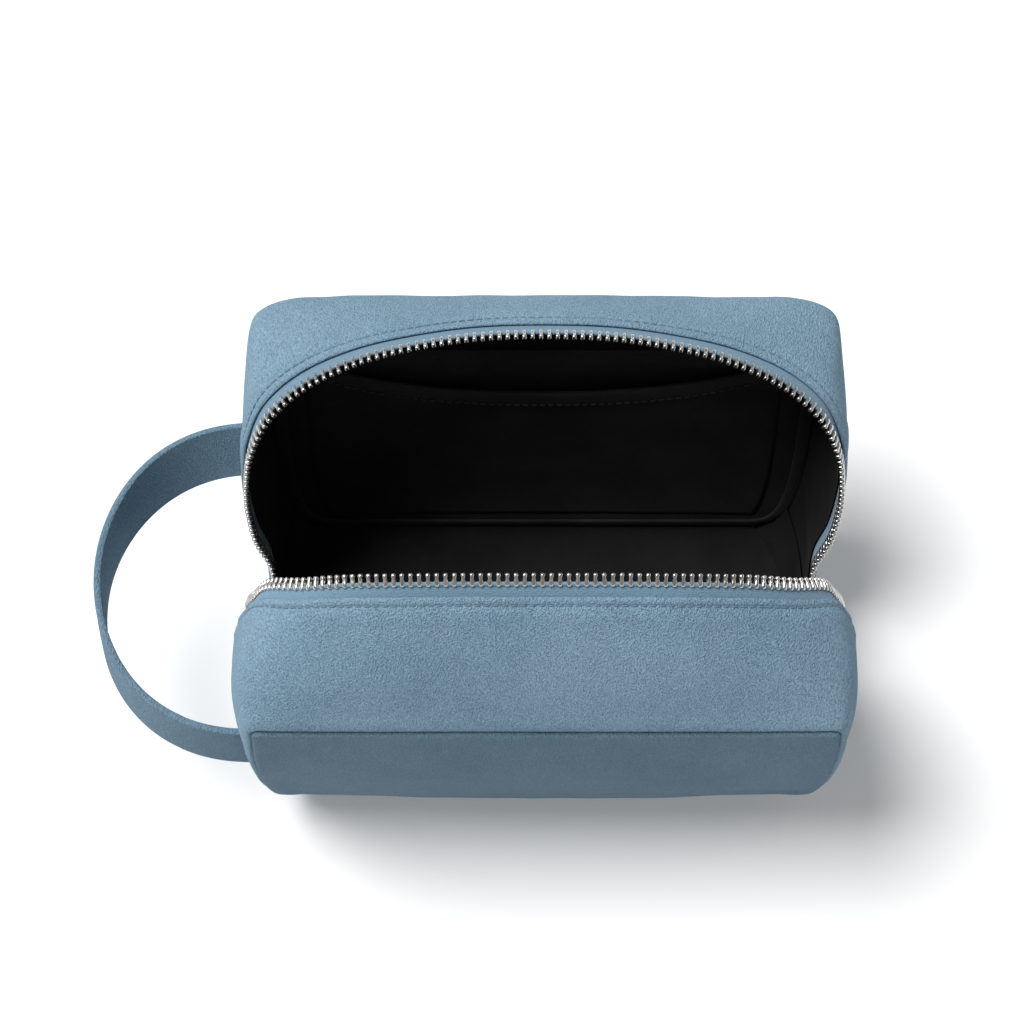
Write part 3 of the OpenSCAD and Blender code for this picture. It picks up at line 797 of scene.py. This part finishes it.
# ---------------------------------------------------------------- stitches
def stitch_piece(name, ends, material, radius):
    """One thread float per (start, end, up): a bowed tube sunk at its ends."""
    sides = 6
    rings = 7
    verts = []
    faces = []
    for a, b, up in ends:
        run = unit(b - a)
        up = unit(up - run * (up @ run))
        cross = np.cross(run, up)
        first = len(verts)
        for k in range(rings):
            f = k / (rings - 1)
            swell = math.sin(math.pi * (0.06 + 0.88 * f)) ** 0.45
            mid = a + (b - a) * f + up * (radius * (1.7 * swell - 1.15))
            for j in range(sides):
                ang = 2 * math.pi * j / sides
                verts.append(mid + radius * (0.62 + 0.38 * swell)
                             * (cross * math.cos(ang) * 1.1 + up * math.sin(ang)))
        for k in range(rings - 1):
            for j in range(sides):
                q = (j + 1) % sides
                faces.append((first + k * sides + j, first + k * sides + q,
                              first + (k + 1) * sides + q, first + (k + 1) * sides + j))
        faces.append(tuple(first + j for j in range(sides))[::-1])
        faces.append(tuple(first + (rings - 1) * sides + j for j in range(sides)))
    return new_piece(name, verts, faces, material)


def zip_line(half, dist, end):
    """Lengths along the line dist back from the zip, and the columns they are at."""
    t = np.linspace(-end, end, 1201)
    s = span_at(half, t, np.full((len(t), 1), dist))[:, 0]
    return run_along(strip(half, t, s)), t


def steps(length, pitch):
    """Equal steps centred on a length."""
    return np.arange(0.5 * (length % pitch), length, pitch)


def topstitch(half):
    """Topstitching beside the folded edge."""
    run, t = zip_line(half, half["stitch_d"], 11.7)
    ends = []
    for at in steps(run[-1], STITCH_PITCH)[:-1]:
        pair = np.interp([at + 0.25, at + 2.55], run, t)
        s = span_at(half, pair, np.full((2, 1), half["stitch_d"]))[:, 0]
        n = strip_normal(half, pair, s)
        p = strip(half, pair, s) - n * 0.24
        ends.append((p[0], p[1], n[0]))
    obj = stitch_piece(half["name"] + "_stitches", ends, THREAD, THREAD_R)
    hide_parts(half["name"] + "_topstitch")
    follow(obj)


# ---------------------------------------------------------------- zip
TAPE_WIDTH = 13.0
BEAD_D = 1.9        # middle of the bead, measured back from the middle of the teeth
BEAD_RADIUS = 0.75


def zip_tape(half):
    """Woven tape with a rolled bead that the teeth are clamped on."""
    t = gusset_columns(331, end=12.25)
    over = np.concatenate([np.linspace(TAPE_WIDTH, 3.4, 14), [2.9, 2.5]])
    turn = np.radians(np.linspace(-80, 260, 11)) - 1.2
    under = np.concatenate([[2.6, 3.4], np.linspace(4, TAPE_WIDTH, 6)])
    dist = np.concatenate([over, BEAD_D - BEAD_RADIUS * np.sin(turn), under])
    lift = np.concatenate([over * 0, BEAD_RADIUS * np.cos(turn), under * 0 - 0.5])
    s = span_at(half, t, np.tile(dist, (len(t), 1)))
    p = strip(half, t[:, None], s)
    p = p + strip_normal(half, t[:, None], s) * (lift - TAPE_D)[None, :, None]
    obj = grid_piece(half["name"] + "_tape", p, TAPE, flip=half["out"] > 0)
    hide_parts(half["name"] + "_zip_tape", "lower_zip_tape")
    follow(obj)


TOOTH_STRETCH = 1.03    # across the zip
TOOTH_SET = 0.5         # how far the teeth sit back from the middle of the chain


def tooth_shape():
    """One tooth: two legs clamped on the bead and a narrower head with a rounded nib.

    Each station is (place across the zip, half width along it, half height), and a
    vertex is (along, across, up).
    """
    stations = [(-2.25, 0.46, 0.50), (-2.1, 0.70, 0.80), (-1.6, 0.90, 1.02),
                (-0.8, 0.90, 1.10), (-0.2, 0.72, 1.06), (0.3, 0.60, 1.00), (0.9, 0.60, 0.96),
                (1.4, 0.76, 1.02), (1.8, 0.80, 1.0), (2.15, 0.64, 0.84), (2.3, 0.36, 0.5)]
    ring = 12
    ang = np.radians(np.arange(ring) * 360 / ring + 15)
    along = squared(np.cos(ang), 0.62)
    up = squared(np.sin(ang), 0.62)
    verts = []
    for across, half_w, half_h in stations:
        for k in range(ring):
            verts.append((half_w * along[k], TOOTH_STRETCH * across - TOOTH_SET,
                          half_h * up[k]))
    faces = []
    for i in range(len(stations) - 1):
        for k in range(ring):
            q = (k + 1) % ring
            faces.append((i * ring + k, (i + 1) * ring + k, (i + 1) * ring + q, i * ring + q))
    faces.append(tuple(range(ring)))
    last = (len(stations) - 1) * ring
    faces.append(tuple(last + k for k in range(ring))[::-1])
    return np.array(verts), faces


def zip_teeth(half):
    """Row of teeth along the zip line, heads towards the other half."""
    tooth_verts, tooth_faces = tooth_shape()
    length, t = zip_line(half, 0.0, 12.05)
    cols = np.interp(steps(length[-1], TOOTH_PITCH), length, t)
    s = np.ones(len(cols))
    here = strip(half, cols, s)
    run = unit(strip(half, cols + STEP, s) - strip(half, cols - STEP, s))
    up = strip_normal(half, cols, s)
    head = unit(np.cross(up, run) * half["out"])
    head *= np.sign(((here - strip(half, cols, s - 0.05)) * head).sum(1))[:, None]
    base = here - up * TAPE_D
    verts = []
    faces = []
    for k in range(len(cols)):
        lean = random.uniform(-0.05, 0.05)
        r = unit(run[k] + head[k] * lean)
        f = unit(head[k] - run[k] * lean)
        first = len(verts)
        verts.extend(base[k] + tooth_verts @ np.stack([r, f, up[k]]))
        faces.extend(tuple(first + i for i in q) for q in tooth_faces)
    obj = new_piece(half["name"] + "_teeth", verts, faces, NICKEL)
    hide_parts(half["name"] + "_zip_teeth", "lower_zip_teeth")
    follow(obj)


# ---------------------------------------------------------------- strap
STRAP_END_X = -104.0    # x of the loop's own ends
STRAP_REACH = 57.5      # how far it reaches out from them
STRAP_HALF_Y = 57.5     # half of its breadth
STRAP_MID_Y = 3.0
STRAP_BOW = 0.875       # 1 would be an ellipse, and less is fuller
STRAP_Z = 64.0
STRAP_W = 24.0
STRAP_T = 2.7
STRAP_EDGE = 0.8        # half width of the rounded edge
STRAP_CUT_X = -130.0    # where the loop meets the pieces sewn to the halves


def band(path, width_dir, name, capped=False):
    """Flat suede band with rounded edges along a path; capped closes its last end."""
    run = unit(np.gradient(path, axis=0))
    width_dir = unit(width_dir - run * (width_dir * run).sum(1)[:, None])
    thick_dir = np.cross(run, width_dir)
    hw = STRAP_W / 2
    ht = STRAP_T / 2
    reach = hw - STRAP_EDGE
    flat = np.linspace(-reach, reach, 17)
    arc = np.radians(np.linspace(90, -90, 11))
    puff = ht * (1 + 0.06 * np.cos(np.pi * flat / hw))
    edge = np.stack([reach + STRAP_EDGE * np.cos(arc), ht * np.sin(arc)], 1)[1:-1]
    shape = np.concatenate([np.stack([flat, puff], 1), edge,
                            np.stack([flat[::-1], -puff], 1), -edge])
    p = sweep(path, width_dir, thick_dir, shape)
    wave = 0.3 * ripple(path, 30, 12)
    p = p + thick_dir[:, None, :] * wave[:, None, None]
    if capped:
        centre = p[-1].mean(0) + run[-1] * 0.3
        p = np.concatenate([p, [p[-1] * 0.98 + centre * 0.02 + run[-1] * 0.3],
                            np.tile(centre, (1, p.shape[1], 1))])
    return grid_piece(name, p, SHADED_STRAP_SUEDE, ring=True, flip=True)


def strap_plan(p):
    """Plan of the strap at angles p in degrees, -90 front end to 90 back end."""
    a = np.radians(p)
    x = STRAP_END_X - STRAP_REACH * np.cos(a) ** STRAP_BOW
    return np.stack([x, STRAP_MID_Y + STRAP_HALF_Y * np.sin(a), 0 * x + STRAP_Z], 1)


def strap_band(first, last, count, name, capped=False):
    """Band along the strap between two angles, tipped towards the back wall."""
    path = strap_plan(np.linspace(first, last, count))
    lean = np.radians(18.0 + 10.0 * (path[:, 1] - STRAP_MID_Y) / STRAP_HALF_Y)
    across = np.stack([0 * lean, np.sin(lean), np.cos(lean)], 1)
    return band(path, across, name, capped)


def strap_end(half, angle, last_angle, name):
    """An end of the strap, from the loop to inside the pouch's side, where it is sewn."""
    sign = -half["out"]
    piece = strap_band(sign * angle, sign * last_angle, 60, name, capped=True)
    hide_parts("strap_" + half["name"] + "_tab")
    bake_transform(piece)


def strap_pieces():
    """The swinging loop and its two ends, which meet where the loop is cut."""
    share = (STRAP_END_X - STRAP_CUT_X) / STRAP_REACH
    angle = math.degrees(math.acos(share ** (1 / STRAP_BOW)))
    loop = strap_band(-angle, angle, 141, "strap_loop")
    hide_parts("strap_outer", "strap_lining")
    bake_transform(loop)
    strap_end(FRONT, angle, 88.9, "strap_front_end")
    strap_end(BACK, angle, 89.95, "strap_back_end")


# ---------------------------------------------------------------- CAD materials
def paint_cad():
    """Materials for the pieces that stay as the CAD made them."""
    for name, material in (("zip_slider", NICKEL), ("zip_puller", NICKEL),
                           ("zip_bottom_stop", NICKEL), ("zip_top_stop", NICKEL),
                           ("base_stiffener", BOARD)):
        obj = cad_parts[name]
        for slot in obj.material_slots:
            slot.material = material


# ---------------------------------------------------------------- stage
def floor():
    """A wide pale floor just under the pouch, which glows a little so it stays white."""
    mesh = bpy.data.meshes.new("floor")
    mesh.from_pydata([(-9, -9, 0), (9, -9, 0), (9, 9, 0), (-9, 9, 0)], [], [(0, 1, 2, 3)])
    obj = bpy.data.objects.new("floor", mesh)
    bpy.context.scene.collection.objects.link(obj)
    obj.location.z = -0.2 * MM
    sh = Shader("floor")
    mesh.materials.append(sh.finish((0.82, 0.82, 0.82), 0.9, Specular_IOR_Level=0.1,
                                    Emission_Color=(1, 1, 1, 1), Emission_Strength=0.16))


def lights():
    """A broad soft light from above, the left and a little behind, in pale surroundings."""
    data = bpy.data.lights.new("key", "SUN")
    data.energy = 3.85
    data.angle = math.radians(32)
    key = bpy.data.objects.new("key", data)
    key.rotation_euler = Vector((-0.40, 0.13, 0.91)).to_track_quat("Z", "Y").to_euler()
    bpy.context.scene.collection.objects.link(key)
    world = bpy.context.scene.world or bpy.data.worlds.new("world")
    bpy.context.scene.world = world
    world.use_nodes = True
    nodes = world.node_tree.nodes
    links = world.node_tree.links
    where = nodes.new("ShaderNodeTexCoord")
    split = nodes.new("ShaderNodeSeparateXYZ")
    ramp = nodes.new("ShaderNodeValToRGB")
    links.new(where.outputs["Generated"], split.inputs["Vector"])
    links.new(split.outputs["Z"], ramp.inputs["Fac"])
    links.new(ramp.outputs["Color"], nodes["Background"].inputs["Color"])
    ramp.color_ramp.elements[0].position = 0.10
    ramp.color_ramp.elements[0].color = (0.62, 0.62, 0.62, 1)
    ramp.color_ramp.elements[1].position = 0.26
    ramp.color_ramp.elements[1].color = (0.20, 0.20, 0.20, 1)
    nodes["Background"].inputs["Strength"].default_value = 1.0


def camera():
    """The photograph's view, from the front and above."""
    data = bpy.data.cameras.new("camera")
    data.sensor_width = 36
    data.lens = 105.5
    data.clip_end = 20
    obj = bpy.data.objects.new("camera", data)
    obj.location = (-0.0115, -0.3705, 1.094)
    obj.rotation_euler = (math.radians(21.5), 0, 0)
    bpy.context.scene.collection.objects.link(obj)
    bpy.context.scene.camera = obj
    bpy.context.scene.view_settings.view_transform = "Standard"


floor()
lights()
camera()
for side in (FRONT, BACK):
    gusset_skin(side)
    face_skin(side)
    gusset_liner(side)
    face_liner(side)
    face_binding(side)
    zip_tape(side)
    zip_teeth(side)
    topstitch(side)
base_skin()
base_liner()
slip_pocket()
pocket_hem()
strap_pieces()
paint_cad()
